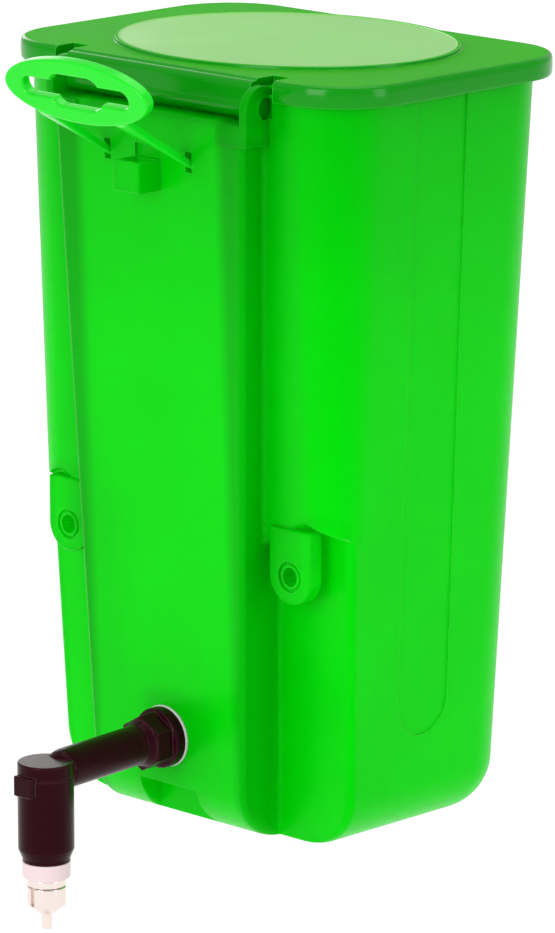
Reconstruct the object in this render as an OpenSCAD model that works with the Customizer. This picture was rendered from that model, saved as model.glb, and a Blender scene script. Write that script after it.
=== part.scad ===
// Cage-hung small-animal water drinker.
// Moulded tank with a front block, hinged lid, swing hanging clip,
// outlet arm with elbow housing and a steel trigger nipple.
// Inner layout: base plane of the tank at z = 0, x = 0 is the mirror plane.

/* [Tank] */
// outside width of the tank at its base
tank_w = 104.6; // [80:1:150]
// outside depth of the tank at its base, front wall to back wall
tank_d = 68; // [50:1:110]
// height of the tank mouth above the base
tank_h = 197; // [140:1:260]
// outward lean of every wall for each millimetre of height
draft = 0.037; // [0.01:0.001:0.06]
// wall thickness
wall = 2; // [1.5:0.1:3]
// vertical front corner radius at the mouth
front_r = 17; // [10:0.5:20]
// vertical front corner radius at the lug roof
front_low_r = 10; // [6:0.5:16]
// vertical rear corner radius
back_r = 16; // [8:0.5:22]
// radius of the bottom edges
bottom_r = 14; // [6:0.5:18]
// height of the tank floor
floor_t = 2.2; // [1.6:0.1:4]
// half width of the level window sunk into each side
window_hw = 9.25; // [5:0.25:14]
// height of the lower end of the level window
window_z = 27; // [18:1:60]
// depth of the level window
window_sunk = 0.4; // [0.2:0.05:0.8]

/* [Block] */
// side of the block to side of the tank, at the base
block_inset = 25.3; // [20:0.1:34]
// how far the block stands out from the front wall
block_proud = 7.65; // [5:0.1:14]
// block top ledge below the tank mouth
block_drop = 7; // [6:0.5:12]
// radius of the lower front edge of the block
block_r = 13; // [6:0.5:18]
// half width of the arch under the block
notch_hw = 10.5; // [6:0.5:14]
// height of the arch under the block
notch_h = 11; // [6:0.5:12]
// depth of the arch into the block
notch_d = 8; // [4:0.5:12]

/* [Lugs] */
// lug hole to side of the tank, at the base
lug_inset = 11.7; // [10:0.1:16]
// height of the lug holes above the base
lug_z = 73; // [50:1:110]
// outer radius of a lug
lug_r = 7.3; // [6:0.1:9]
// radius of the lug hole
lug_hole_r = 2.5; // [1.5:0.1:3.5]
// thickness of a lug
lug_t = 4.4; // [3:0.1:6]
// how far the lug front stands out from the front wall
lug_proud = 1.7; // [0.5:0.1:4]
// step back of the wall below the lug roof
recess = 6; // [4:0.1:9]
// rise of the roof above the lug hole
roof_rise = 14; // [10:0.5:20]

/* [Lid] */
// how far the lid overhangs the tank at the sides and back
lid_over = 4.6; // [3:0.1:8]
// how far the lid overhangs the tank at the front
lid_front_over = 1.8; // [1:0.1:4]
// thickness of the lid plate
lid_t = 2.4; // [1.6:0.1:4]
// height of the lid rim
rim_h = 5.7; // [4:0.1:10]
// corner radius of the lid
lid_r = 20; // [12:0.5:26]
// gap between lid plate and tank mouth
lid_gap = 1.6; // [0.4:0.1:3]
// side of the polished disc to side of the lid
disc_side = 15.7; // [8:0.1:30]
// front of the polished disc to front of the lid
disc_edge = 3.5; // [3:0.1:20]
// how far the polished disc stands up from the lid plate
disc_up = 1; // [0.3:0.1:2]
// radius of the hinge barrel
barrel_r = 3.2; // [2.6:0.1:4]
// radius of the hinge trunnions
trunnion_r = 2.73; // [1.6:0.01:2.9]
// running clearance round trunnions and pegs
run_gap = 0.07; // [0.03:0.01:0.1]
// thickness of a hinge cheek
cheek_t = 2.6; // [2:0.1:4]

/* [Hanging clip] */
// half length of the ring
ring_a = 25.5; // [20:0.5:32]
// half height of the ring
ring_b = 8.6; // [7:0.1:12]
// thickness of the ring
ring_t = 3.2; // [2:0.1:5]
// forward lean of the ring from upright, degrees
ring_lean = 16; // [0:1:40]
// half distance between the leg tips
leg_x = 14.6; // [12:0.1:17]
// clip pivot below the block top ledge
pivot_drop = 13; // [10:0.5:30]
// reach of the ring centre in front of the pivot
ring_out = 25.4; // [18:0.2:34]
// rise of the ring centre above the pivot
ring_up = 20.4; // [14:0.2:30]
// thickness of a leg at its tip
leg_tip_t = 1.4; // [1:0.1:2.4]
// radius of the pivot pegs
peg_r = 0.8; // [0.6:0.05:1.2]

/* [Outlet arm] */
// room between the arch and the square back nut
nut_room = 0.95; // [0.5:0.05:10]
// distance from the block face to the nipple axis
arm_len = 43.2; // [36:0.2:60]
// outer radius of the arm
arm_r = 5.25; // [4.5:0.05:6]
// radius of the water bore in the arm
arm_bore_r = 2.6; // [1.8:0.1:3.2]
// radius of the threaded spigot through the wall
spigot_r = 5; // [4.4:0.1:6]
// clearance round the spigot
spigot_gap = 0.2; // [0.05:0.05:0.4]
// radius of the flange
flange_r = 8; // [7:0.1:10]
// thickness of the flange
flange_t = 3.2; // [1.4:0.1:5]
// thickness of the washers
washer_t = 0.8; // [0.6:0.1:2]
// side of the square back nut
nut_s = 20.5; // [16:0.5:24]
// thickness of the back nut
nut_t = 4.5; // [3:0.1:6]
// radius of the elbow housing
elbow_r = 7.25; // [6.5:0.05:9]
// height of the elbow cap
cap_h = 3.8; // [3:0.1:7]

/* [Nipple] */
// radius of the white collar
collar_r = 6.2; // [5.6:0.1:7]
// height of the white collar
collar_h = 4.4; // [3:0.1:7]
// radius of the steel nipple
nip_r = 5; // [4:0.1:5.6]
// height of the steel nipple below the collar
nip_h = 9.5; // [7:0.1:14]
// radius of the trigger pin
pin_r = 1.38; // [1:0.01:1.8]
// length of trigger pin showing below the nipple
pin_show = 4.4; // [2:0.1:7]
// upward travel of the trigger pin
pin_travel = 1.2; // [0.6:0.1:2]
// wire radius of the valve spring
wire_r = 0.2; // [0.15:0.01:0.3]

/* [Hidden] */
big = 400;
hw0 = tank_w / 2;
hd0 = tank_d / 2;
block_hw = hw0 - block_inset;
block_top = tank_h - block_drop;
lug_x = hw0 - lug_inset;
pivot_z = block_top - pivot_drop;
outlet_z = notch_h + wall + nut_s / 2 + nut_room;
slope = atan(draft);
function hw(z) = hw0 + draft * z;
function hd(z) = hd0 + draft * z;
function face_y(z) = -(hd(z) + block_proud);
lug_y = -(hd(lug_z) + lug_proud);
roof_z = lug_z + roof_rise;
// hinge axis of the lid
hinge_y = -(hd(tank_h) + 0.75);
hinge_z = block_top + barrel_r + 0.3;
block_hw_top = block_hw + draft * block_top;
barrel_x = block_hw_top - 0.9;
cheek_x0 = barrel_x + 0.35;
cheek_x1 = cheek_x0 + cheek_t;
cheek_r = 6;
lid_z1 = tank_h + lid_gap;
lid_z2 = lid_z1 + lid_t;
lid_hw = hw(tank_h) + lid_over;
lid_fy = -(hd(tank_h) + lid_front_over);
lid_by = hd(tank_h) + lid_over;
lid_cy = (lid_fy + lid_by) / 2;
lid_hd = (lid_by - lid_fy) / 2;
disc_a = lid_hw - disc_side;
disc_b = lid_hd - disc_edge;
pivot_y = face_y(pivot_z) + 1.3;
// elbow and nipple axis
elbow_y = face_y(outlet_z) - arm_len;
elbow_axis_z = outlet_z - draft * arm_len;
cap_z0 = elbow_axis_z - 0.2;
house_z0 = elbow_axis_z - 22.8;
neck_z = house_z0 + 3.1;
collar_z0 = house_z0 - collar_h;
nip_z0 = collar_z0 - nip_h;
seat_z = collar_z0 - 0.4;
head_z = seat_z + 1.8;
stem_r = 3.1;
stem_top = house_z0 + 6.8;
seat_bore_r = 2.4;
spring_r = 1.65;
ret_z = stem_top - 1.6;

module place() {
  translate([0, -lug_y, -lug_z])
    children();
}

// rounded rectangle outline, centred
function arc_pts(cx, cy, r, a0) =
  [for (k = [0:8]) [cx + r * cos(a0 + k * 11.25), cy + r * sin(a0 + k * 11.25)]];
function rr_pts(a, b, r) = concat(
  arc_pts(a - r, b - r, r, 0), arc_pts(r - a, b - r, r, 90),
  arc_pts(r - a, r - b, r, 180), arc_pts(a - r, r - b, r, 270));

// lower part of the tank: wall stepped back at the front
module main_hull(t) {
  fy = -(hd0 - recess) + t;
  hull() {
    for (s = [-1, 1]) {
      translate([s * (hw0 - bottom_r), hd0 - bottom_r, bottom_r])
        sphere(r = bottom_r - t, $fn = 32);
      translate([s * (hw0 - bottom_r), fy + 1, bottom_r])
        rotate([90, 0, 0])
          cylinder(r = bottom_r - t, h = 1, $fn = 32);
      translate([s * (hw(tank_h) - back_r), hd(tank_h) - back_r, tank_h - 1])
        cylinder(r = back_r - t, h = 1, $fn = 32);
      translate([s * (hw(roof_z - 5) - 2 - t), fy - draft * (roof_z - 5) + 2, roof_z - 6])
        cylinder(r = 2, h = 1, $fn = 32);
      translate([s * (hw(tank_h) - 3 - t), front_r + 3 - hd(tank_h), tank_h - 1])
        cylinder(r = 3, h = 1, $fn = 32);
    }
  }
}

// upper front part of the tank, in front of the stepped wall
module upper_hull(t) {
  z0 = roof_z - 14;
  hull() {
    for (s = [-1, 1]) {
      translate([s * (hw(z0) - front_low_r), -(hd(z0) - front_low_r), z0])
        cylinder(r = front_low_r - t, h = 1, $fn = 32);
      translate([s * (hw(tank_h) - front_r), -(hd(tank_h) - front_r), tank_h - 1])
        cylinder(r = front_r - t, h = 1, $fn = 32);
      for (z = [z0, tank_h - 1])
        translate([s * (hw(z) - t - 2), 0, z])
          cylinder(r = 2, h = 1, $fn = 32);
    }
  }
}

// space below the sloping lug roof, lifted by t
module under_roof(t) {
  for (s = [-1, 1])
    scale([s, 1, 1])
      translate([0, 1, t])
        rotate([90, 0, 0])
          linear_extrude(height = big)
            polygon([[0, -20], [0, roof_z - 21], [block_hw, roof_z - 9.5],
              [lug_x + 4, roof_z], [hw0 + 20, roof_z - 11], [hw0 + 20, -20]]);
}

// front block, shrunk by t
module block_solid(t, top) {
  intersection() {
    translate([0, 0, 0])
      rotate([90, 0, 0])
        linear_extrude(height = big)
          polygon([[-(block_hw - t), 0], [block_hw - t, 0],
            [block_hw + draft * tank_h - t, tank_h],
            [-(block_hw + draft * tank_h - t), tank_h]]);
    rotate([90, 0, 90])
      translate([0, 0, -big / 2])
        linear_extrude(height = big)
          difference() {
            polygon([[0, t], [face_y(t) + t, t],
              [face_y(top) + t, top], [0, top]]);
            difference() {
              translate([-(hd0 + block_proud) - 5 + t, t - 5])
                square([block_r + 5, block_r + 5]);
              translate([-(hd0 + block_proud) + block_r, block_r])
                circle(r = block_r - t, $fn = 96);
              translate([-(hd0 + block_proud) + block_r, -20])
                square([20, 60]);
            }
          }
  }
}

// arch under the block, grown by t
module arch(t) {
  translate([-(notch_hw + t), -(hd0 + block_proud) - 6, -6])
    cube([2 * (notch_hw + t), notch_d + 6 + t, notch_h + 6 + t]);
}

module catch_box() {
  translate([-4.75, face_y(pivot_z) - 8, pivot_z - 7.6])
    cube([9.5, 10, 8]);
}

module catch_pocket() {
  translate([-3.4, face_y(pivot_z) - 6.7, pivot_z - 6.1])
    cube([6.8, 6.2, 9]);
  translate([-4.6, face_y(pivot_z) - 2, pivot_z + 0.3])
    cube([9.2, 3, 3.5]);
}

module pivot_pocket(t) {
  for (s = [-1, 1])
    translate([s * leg_x - leg_tip_t / 2 - 0.4 - t, pivot_y - 8, pivot_z - 1.7 - t])
      cube([leg_tip_t + 0.8 + 2 * t, 9.6 + t, 5.3 + 2 * t]);
}

module pivot_bores() {
  for (s = [-1, 1])
    translate([s * leg_x - 2.6, pivot_y, pivot_z])
      rotate([0, 90, 0])
        cylinder(r = peg_r + run_gap, h = 5.2, $fn = 48);
}

module lug(s) {
  yf = lug_y;
  difference() {
    union() {
      translate([s * lug_x, yf + lug_t, lug_z])
        rotate([90, 0, 0])
          cylinder(r = lug_r, h = lug_t, $fn = 64);
      translate([s * lug_x - lug_r, yf, lug_z])
        cube([2 * lug_r, lug_t, roof_rise - 2.5]);
    }
    translate([s * lug_x, yf + lug_t + 1, lug_z])
      rotate([90, 0, 0])
        cylinder(r = lug_hole_r, h = lug_t + 2, $fn = 64);
    translate([s * lug_x, yf + 0.9, lug_z])
      rotate([90, 0, 0])
        cylinder(r = lug_hole_r + 1.5, h = 2, $fn = 64);
  }
  translate([s * lug_x, yf + 2, lug_z])
    rotate([90, 0, 0])
      difference() {
        cylinder(r = lug_hole_r + 0.8, h = 2, $fn = 64);
        translate([0, 0, -1])
          cylinder(r = lug_hole_r, h = 4, $fn = 64);
      }
}

module cheek(s) {
  x0 = s > 0 ? cheek_x0 : -cheek_x1;
  union() {
    union() {
      translate([x0, hinge_y - 1.4, hinge_z])
        rotate([0, 90, 0])
          cylinder(r = cheek_r, h = cheek_t, $fn = 64);
      translate([x0, hinge_y - 1.4 - cheek_r, hinge_z - 9.5])
        cube([cheek_t, 2 * cheek_r, 9.5]);
      translate([s > 0 ? block_hw - 2 : -cheek_x1, hinge_y - 1.4 - cheek_r, hinge_z - 9.5])
        cube([cheek_x1 - block_hw + 2, 2 * cheek_r, 5.7]);
    }
  }
}

module hinge_bores() {
  for (s = [-1, 1])
    translate([s > 0 ? cheek_x0 - 1 : -cheek_x1 - 1, hinge_y, hinge_z])
      rotate([0, 90, 0])
        cylinder(r = trunnion_r + run_gap, h = cheek_t + 2, $fn = 64);
}

// level window, sunk into the side wall
module window(s) {
  scale([s, 1, 1])
    translate([hw0, -2.55, 0])
      rotate([0, slope, 0]) {
        translate([-window_sunk, -window_hw, window_z + window_hw])
          cube([4, 2 * window_hw, big]);
        translate([-window_sunk, 0, window_z + window_hw])
          rotate([0, 90, 0])
            cylinder(r = window_hw, h = 4, $fn = 64);
      }
}

module outlet_frame() {
  translate([0, face_y(outlet_z), outlet_z])
    rotate([90 + slope, 0, 0])
      children();
}

// local axis out of the block face, from a to b
module rod(a, b, r) {
  translate([0, 0, a])
    cylinder(r = r, h = b - a, $fn = 64);
}

// vertical tube piece on the nipple axis
module post(a, b, r) {
  translate([0, elbow_y, a])
    cylinder(r = r, h = b - a, $fn = 64);
}

module tank_body() {
  color([0.1, 0.8, 0.2]) place() {
    difference() {
      union() {
        difference() {
          union() {
            main_hull(0);
            difference() {
              upper_hull(0);
              under_roof(0);
            }
            block_solid(0, block_top);
          }
          // cavity
          difference() {
            union() {
              intersection() {
                main_hull(wall);
                translate([-big / 2, -big / 2, floor_t])
                  cube([big, big, big]);
              }
              translate([0, 0, tank_h - 2])
                linear_extrude(height = 10)
                  translate([0, 0])
                    polygon(rr_pts(hw(tank_h) - wall, hd(tank_h) - wall, front_r - wall));
              difference() {
                upper_hull(wall);
                under_roof(wall);
              }
              block_solid(wall, block_top - wall);
            }
            arch(wall);
            pivot_pocket(1.6);
            translate([-cheek_x1 - wall, hinge_y - 30, block_top - wall])
              cube([2 * (cheek_x1 + wall), 30 + barrel_r + 0.5 + wall, big]);
          }
          // trough for the hinge barrel
          translate([-cheek_x0, hinge_y - 30, block_top])
            cube([2 * cheek_x0, 30 + barrel_r + 0.5, big]);
        }
        lug(1);
        lug(-1);
        cheek(1);
        cheek(-1);
        catch_box();
      }
      arch(0);
      catch_pocket();
      pivot_pocket(0);
      pivot_bores();
      hinge_bores();
      window(1);
      window(-1);
      outlet_frame()
        rod(-wall - 6, 1, spigot_r + spigot_gap);
    }
  }
}

module lid() {
  color([0.15, 0.65, 0.25]) place() {
    difference() {
      union() {
        translate([0, lid_cy, lid_z1])
          linear_extrude(height = lid_t)
            polygon(rr_pts(lid_hw, lid_hd, lid_r));
        translate([0, lid_cy, lid_z2 - rim_h])
          linear_extrude(height = rim_h)
            difference() {
              polygon(rr_pts(lid_hw, lid_hd, lid_r));
              polygon(rr_pts(lid_hw - 2.2, lid_hd - 1.1, lid_r - 2));
            }
        // plug ring that enters the mouth on three sides
        translate([0, 0, tank_h - 4])
          linear_extrude(height = 4 + lid_gap + 0.5)
            difference() {
              polygon(rr_pts(hw(tank_h) - wall - 1.2, hd(tank_h) - wall - 1.2, back_r));
              polygon(rr_pts(hw(tank_h) - wall - 3, hd(tank_h) - wall - 3, back_r - 2));
              translate([-big / 2, -big - 14])
                square([big, big]);
            }
        // barrel and its web
        translate([-barrel_x, hinge_y, hinge_z])
          rotate([0, 90, 0])
            cylinder(r = barrel_r, h = 2 * barrel_x, $fn = 64);
        translate([-barrel_x, hinge_y, hinge_z])
          rotate([90, 0, 90])
            linear_extrude(height = 2 * barrel_x)
              polygon([[0.3 - barrel_r, 0], [0.3 - barrel_r, lid_z2 - hinge_z - 1.9],
                [1.6 - barrel_r, lid_z2 - hinge_z - 0.6], [1.5, lid_z2 - hinge_z - 0.6], [1.5, 0]]);
        // polished disc, slightly raised
        translate([0, lid_cy + 1, lid_z2 - 0.5])
          linear_extrude(height = disc_up + 0.5)
            polygon([for (k = [0:71]) [disc_a * cos(k * 5), disc_b * sin(k * 5)]]);
      }
      for (s = [-1, 1])
        translate([s > 0 ? barrel_x : -cheek_x1 - 3, lid_fy - 20, hinge_z - 10])
          cube([cheek_x1 + 3 - barrel_x, 20 + 6.8, 40]);
      // rim is cut away where it would touch the trough wall
      translate([-cheek_x0, lid_fy + 2.6, lid_z1 - 10])
        cube([2 * cheek_x0, 8, 10]);
    }
    for (s = [-1, 1])
      translate([s > 0 ? barrel_x - 1 : -cheek_x1 + 1.2, hinge_y, hinge_z])
        rotate([0, 90, 0])
          cylinder(r = trunnion_r, h = cheek_x1 - 0.2 - barrel_x, $fn = 64);
  }
}

module hanging_clip() {
  color([0.2, 0.9, 0.3]) place() {
    cy = pivot_y - ring_out;
    cz = pivot_z + ring_up;
    translate([0, cy, cz])
      rotate([ring_lean, 0, 0])
        translate([0, ring_t / 2, 0])
          rotate([90, 0, 0])
            linear_extrude(height = ring_t)
              difference() {
                polygon([for (k = [0:71]) [ring_a * cos(k * 5), ring_b * sin(k * 5)]]);
                polygon(rr_pts(ring_a - 6.5, 2.4, 2.4));
                polygon(rr_pts(9.5, 4.4, 4.4));
              }
    for (s = [-1, 1]) {
      hull() {
        translate([s * leg_x - leg_tip_t / 2, pivot_y, pivot_z])
          rotate([0, 90, 0])
            cylinder(r = 0.95, h = leg_tip_t, $fn = 32);
        translate([s * (leg_x - 1) - 2.3, cy + sin(ring_lean) * (ring_b - 1.6),
          cz - cos(ring_lean) * (ring_b - 1.6)])
          rotate([0, 90, 0])
            cylinder(r = 1.3, h = 4.6, $fn = 32);
      }
      translate([s * leg_x - 2.4, pivot_y, pivot_z])
        rotate([0, 90, 0])
          cylinder(r = peg_r, h = 4.8, $fn = 48);
    }
  }
}

module outlet_arm() {
  color([0.12, 0.05, 0.06]) place() {
    difference() {
      union() {
        outlet_frame() {
          rod(-wall - washer_t - nut_t - 1.2, washer_t + 0.8, spigot_r);
          rod(washer_t, washer_t + flange_t, flange_r);
          translate([0, 0, washer_t + 0.8])
            rotate([0, 0, 30])
              cylinder(r = 7.5, h = 8.6, $fn = 6);
          rod(washer_t + 0.8, arm_len - arm_r - 1.7, arm_r);
          translate([0, 0, arm_len - arm_r - 1.7])
            sphere(r = arm_r, $fn = 64);
        }
        post(neck_z, cap_z0, elbow_r);
        translate([0, elbow_y, house_z0])
          cylinder(r1 = collar_r, r2 = elbow_r, h = neck_z - house_z0, $fn = 64);
        post(neck_z - 1, neck_z + 1, collar_r);
      }
      outlet_frame()
        rod(-big / 4, arm_len - 5, arm_bore_r);
      // drop channel, valve chamber and collar socket
      translate([0, elbow_y + 4.9, neck_z + 6])
        cylinder(r = 1.9, h = elbow_axis_z - neck_z - 6, $fn = 48);
      post(stem_top - 0.5, cap_z0 - 3.6, 4.6);
      post(house_z0 - 1, stem_top, 4.2);
      post(cap_z0 - 2.6, cap_z0 + 1, 2.6);
    }
  }
}

module flange_washer() {
  color([0.75, 0.75, 0.75]) place()
    outlet_frame()
      difference() {
        rod(0, washer_t, flange_r + 0.2);
        rod(-1, washer_t + 1, spigot_r + spigot_gap);
      }
}

module inner_gasket() {
  color([0.2, 0.2, 0.2]) place()
    outlet_frame()
      difference() {
        rod(-wall - washer_t, -wall, flange_r + 0.8);
        rod(-wall - 5, 0, spigot_r + spigot_gap);
      }
}

module back_nut() {
  color([0.1, 0.1, 0.1]) place()
    outlet_frame()
      difference() {
        translate([-nut_s / 2, -nut_s / 2, -wall - washer_t - nut_t])
          cube([nut_s, nut_s, nut_t]);
        rod(-wall - 9, 0, spigot_r + 0.05);
      }
}

module elbow_cap() {
  color([0.1, 0.04, 0.05]) place() {
    difference() {
      union() {
        post(cap_z0, cap_z0 + cap_h, elbow_r);
        post(cap_z0 - 2.4, cap_z0 + 1, 2.55);
      }
      outlet_frame() {
        rod(10, arm_len - arm_r - 1.7, arm_r + 0.1);
        translate([0, 0, arm_len - arm_r - 1.7])
          sphere(r = arm_r + 0.1, $fn = 64);
        translate([-arm_r - 0.1, 0, 10])
          cube([2 * arm_r + 0.2, 20, arm_len - arm_r - 11.7]);
      }
    }
    difference() {
      translate([-3.2, elbow_y - elbow_r - 1.2, cap_z0 - 4.4])
        cube([6.4, 3, 5.4]);
      post(cap_z0 - 5, cap_z0, elbow_r + 0.05);
      post(cap_z0 - 0.01, cap_z0 + 9, elbow_r - 0.6);
    }
  }
}

module nipple_collar() {
  color([0.95, 0.93, 0.93]) place()
    difference() {
      union() {
        post(collar_z0, house_z0, collar_r);
        post(house_z0 - 1, stem_top - 0.8, 4.15);
      }
      post(collar_z0 - 1, stem_top + 1, stem_r + 0.05);
    }
}

module collar_seal() {
  color([0.15, 0.15, 0.15]) place()
    difference() {
      post(stem_top - 0.7, stem_top, 4.15);
      post(stem_top - 2, stem_top + 1, stem_r + 0.05);
    }
}

module nipple_body() {
  color([0.8, 0.78, 0.76]) place()
    difference() {
      union() {
        post(collar_z0 - 1, stem_top, stem_r);
        post(collar_z0 - 2.1, collar_z0, nip_r);
        post(collar_z0 - 6.2, collar_z0 - 1, 3.4);
      }
      post(seat_z, stem_top + 1, seat_bore_r);
      post(collar_z0 - 7, seat_z + 1, pin_r + 0.45);
    }
}

module nipple_sleeve() {
  color([0.85, 0.82, 0.8]) place()
    difference() {
      union() {
        post(collar_z0 - 7.2, collar_z0 - 2.25, nip_r);
        translate([0, elbow_y, nip_z0])
          cylinder(r1 = 2.2, r2 = nip_r, h = nip_h - 7.2, $fn = 64);
        post(collar_z0 - 7.8, collar_z0 - 6.6, nip_r - 1);
      }
      post(collar_z0 - 6.3, collar_z0, 3.45);
      post(nip_z0 - 1, collar_z0, pin_r + 0.3);
      // side slot
      translate([-0.6, elbow_y - nip_r - 1, collar_z0 - 7])
        cube([1.2, 1.9, 6]);
    }
}

module valve_seal() {
  color([0.1, 0.1, 0.1]) place()
    translate([0, elbow_y, seat_z + 0.9])
      rotate_extrude($fn = 64)
        translate([pin_r + 0.06 + 0.44, 0])
          circle(r = 0.44, $fn = 32);
}

module valve_pin() {
  color([0.82, 0.8, 0.78]) place() {
    translate([0, elbow_y, nip_z0 - pin_show])
      cylinder(r1 = pin_r - 0.3, r2 = pin_r, h = 0.5, $fn = 64);
    post(nip_z0 - pin_show + 0.5, head_z + 0.2, pin_r);
    post(nip_z0 - pin_show + 0.1, nip_z0, pin_r - 0.3);
    post(head_z - 0.44, head_z + 1, 2.2);
    post(head_z + 0.9, head_z + 2.4, 0.9);
  }
}

module valve_spring() {
  turns = 4;
  n = 12;
  z0 = head_z + 1 + wire_r + 0.05;
  z1 = ret_z - wire_r - 0.05;
  color([0.7, 0.7, 0.72]) place()
    translate([0, elbow_y, 0])
      for (k = [0:turns])
        translate([0, 0, z0 + (z1 - z0) * k / turns])
          rotate_extrude($fn = 48)
            translate([spring_r, 0])
              circle(r = wire_r, $fn = 16);
}

module spring_retainer() {
  color([0.75, 0.74, 0.72]) place()
    difference() {
      post(ret_z, ret_z + 0.8, seat_bore_r - 0.03);
      post(ret_z - 1, ret_z + 2, 1.2);
    }
}

module strainer() {
  color([0.6, 0.62, 0.62]) place()
    difference() {
      post(ret_z + 0.85, stem_top + 0.4, seat_bore_r - 0.06);
      for (x = [-1:1])
        for (y = [-1:1])
          translate([x * 1.3, elbow_y + y * 1.3, ret_z])
            cylinder(r = 0.4, h = 4, $fn = 24);
    }
}

tank_body();
lid();
hanging_clip();
outlet_arm();
flange_washer();
inner_gasket();
back_nut();
elbow_cap();
nipple_collar();
collar_seal();
nipple_body();
nipple_sleeve();
valve_seal();
valve_pin();
valve_spring();
spring_retainer();
strainer();
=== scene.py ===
import math
import bpy
import bmesh
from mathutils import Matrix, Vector


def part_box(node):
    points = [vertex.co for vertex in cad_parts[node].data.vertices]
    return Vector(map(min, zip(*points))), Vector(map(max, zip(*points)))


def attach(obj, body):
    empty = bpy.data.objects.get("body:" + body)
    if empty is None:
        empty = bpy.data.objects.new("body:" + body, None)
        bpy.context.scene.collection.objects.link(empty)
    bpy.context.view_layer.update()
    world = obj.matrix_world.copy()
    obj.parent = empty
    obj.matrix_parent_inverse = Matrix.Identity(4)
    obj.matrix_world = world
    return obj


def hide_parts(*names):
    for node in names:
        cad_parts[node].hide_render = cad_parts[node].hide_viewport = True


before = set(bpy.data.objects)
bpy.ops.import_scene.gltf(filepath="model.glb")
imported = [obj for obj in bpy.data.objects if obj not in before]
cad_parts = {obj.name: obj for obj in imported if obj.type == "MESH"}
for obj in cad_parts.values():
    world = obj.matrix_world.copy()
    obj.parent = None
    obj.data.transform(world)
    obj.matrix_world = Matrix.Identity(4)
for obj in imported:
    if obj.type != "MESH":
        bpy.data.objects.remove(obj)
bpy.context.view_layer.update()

# ---------------------------------------------------------------- the stand
# A pale table top well under the hanging drinker, and the lens that looks at
# its front and right side from a little above.
tank_low, tank_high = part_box("tank_body")
pin_low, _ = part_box("valve_pin")
floor_z = pin_low[2] - 0.030

bpy.ops.mesh.primitive_plane_add(size=8, location=(0, 0, floor_z))
table_top = bpy.context.object
table_top.name = "table_top"
paper = bpy.data.materials.new("white_paper")
paper.use_nodes = True
sheet = paper.node_tree.nodes["Principled BSDF"]
sheet.inputs["Base Color"].default_value = (0.10, 0.10, 0.10, 1)
sheet.inputs["Roughness"].default_value = 0.85
sheet.inputs["Specular IOR Level"].default_value = 0.0
sheet.inputs["Emission Color"].default_value = (1, 1, 1, 1)
sheet.inputs["Emission Strength"].default_value = 1.0
table_top.data.materials.append(paper)

azimuth = math.radians(44.333)
height = math.radians(13.29)
reach = 1.5527
back = Vector((math.sin(azimuth) * math.cos(height),
               -math.cos(azimuth) * math.cos(height), math.sin(height)))
look_at = Vector((0.02383, 0.01285, 0.02402))
eye = bpy.data.cameras.new("eye")
eye.lens = 233.64
eye.sensor_width = 36
eye.clip_start = 0.05
eye.clip_end = 30
camera = bpy.data.objects.new("camera", eye)
bpy.context.scene.collection.objects.link(camera)
camera.location = look_at + back * reach
camera.rotation_mode = "QUATERNION"
camera.rotation_quaternion = (-back).to_track_quat("-Z", "Y")
bpy.context.scene.camera = camera


def softbox(name, place, aim, size, watts, tint=(1, 1, 1)):
    panel = bpy.data.lights.new(name, "AREA")
    panel.shape = "RECTANGLE"
    panel.size, panel.size_y = size
    panel.energy = watts
    panel.color = tint
    lamp = bpy.data.objects.new(name, panel)
    bpy.context.scene.collection.objects.link(lamp)
    lamp.location = place
    away = Vector(place) - Vector(aim)
    lamp.rotation_mode = "QUATERNION"
    lamp.rotation_quaternion = (-away).to_track_quat("-Z", "Y")
    return lamp


softbox("key", (0.15, -1.35, 0.45), (0, 0, 0), (0.7, 0.9), 10)
softbox("side", (1.4, 0.25, 0.35), (0, 0.04, 0), (0.4, 0.9), 4)
softbox("top", (0.0, 0.2, 1.2), (0, 0, 0), (1.0, 0.8), 5)
softbox("rear", (-1.15, 0.75, 0.48), (0, 0.04, 0.1), (0.5, 0.5), 1.5)

air = bpy.data.worlds.new("air")
air.use_nodes = True
glow = air.node_tree.nodes["Background"]
glow.inputs["Color"].default_value = (1, 1, 1, 1)
glow.inputs["Strength"].default_value = 0.6
backdrop = air.node_tree.nodes.new("ShaderNodeBackground")
backdrop.inputs["Color"].default_value = (1, 1, 1, 1)
seen = air.node_tree.nodes.new("ShaderNodeLightPath")
both = air.node_tree.nodes.new("ShaderNodeMixShader")
air.node_tree.links.new(seen.outputs["Is Camera Ray"], both.inputs["Fac"])
air.node_tree.links.new(glow.outputs["Background"], both.inputs[1])
air.node_tree.links.new(backdrop.outputs["Background"], both.inputs[2])
air.node_tree.links.new(both.outputs["Shader"], air.node_tree.nodes["World Output"].inputs["Surface"])
bpy.context.scene.world = air
bpy.context.scene.view_settings.view_transform = "Standard"

# ---------------------------------------------------------------- the tank
# One injection moulding in clear green polypropylene: a tapered tank with a
# proud front block, a step under two screw lugs, and two ears for the lid.
# Sizes are in millimetres from the middle of the base, then placed in metres.
BASE_HALF_W = 52.3
BASE_HALF_D = 34.0
MOUTH_Z = 197.0
LEAN = 0.037
SKIN = 2.0
BLOCK_HALF = 27.0
BLOCK_PROUD = 7.65
BLOCK_TOP = 190.0
STEP_BACK = 6.0
FOOT_R = 14.0
TOE_R = 13.0
LUG_X = 40.6
LUG_Z = 73.0
LUG_R = 7.3
ROOF_Z = 87.0
HINGE_Y = -(BASE_HALF_D + LEAN * MOUTH_Z + 0.75)
HINGE_Z = BLOCK_TOP + 3.5
CHEEK_IN = 33.48
CHEEK_OUT = 36.08
mid_y = tank_high[1] * 1000 - (BASE_HALF_D + LEAN * MOUTH_Z)
base_z = tank_low[2] * 1000


def half_w(z):
    return BASE_HALF_W + LEAN * z


def half_d(z):
    return BASE_HALF_D + LEAN * z


def face_y(z):
    return -(half_d(z) + BLOCK_PROUD)


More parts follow.
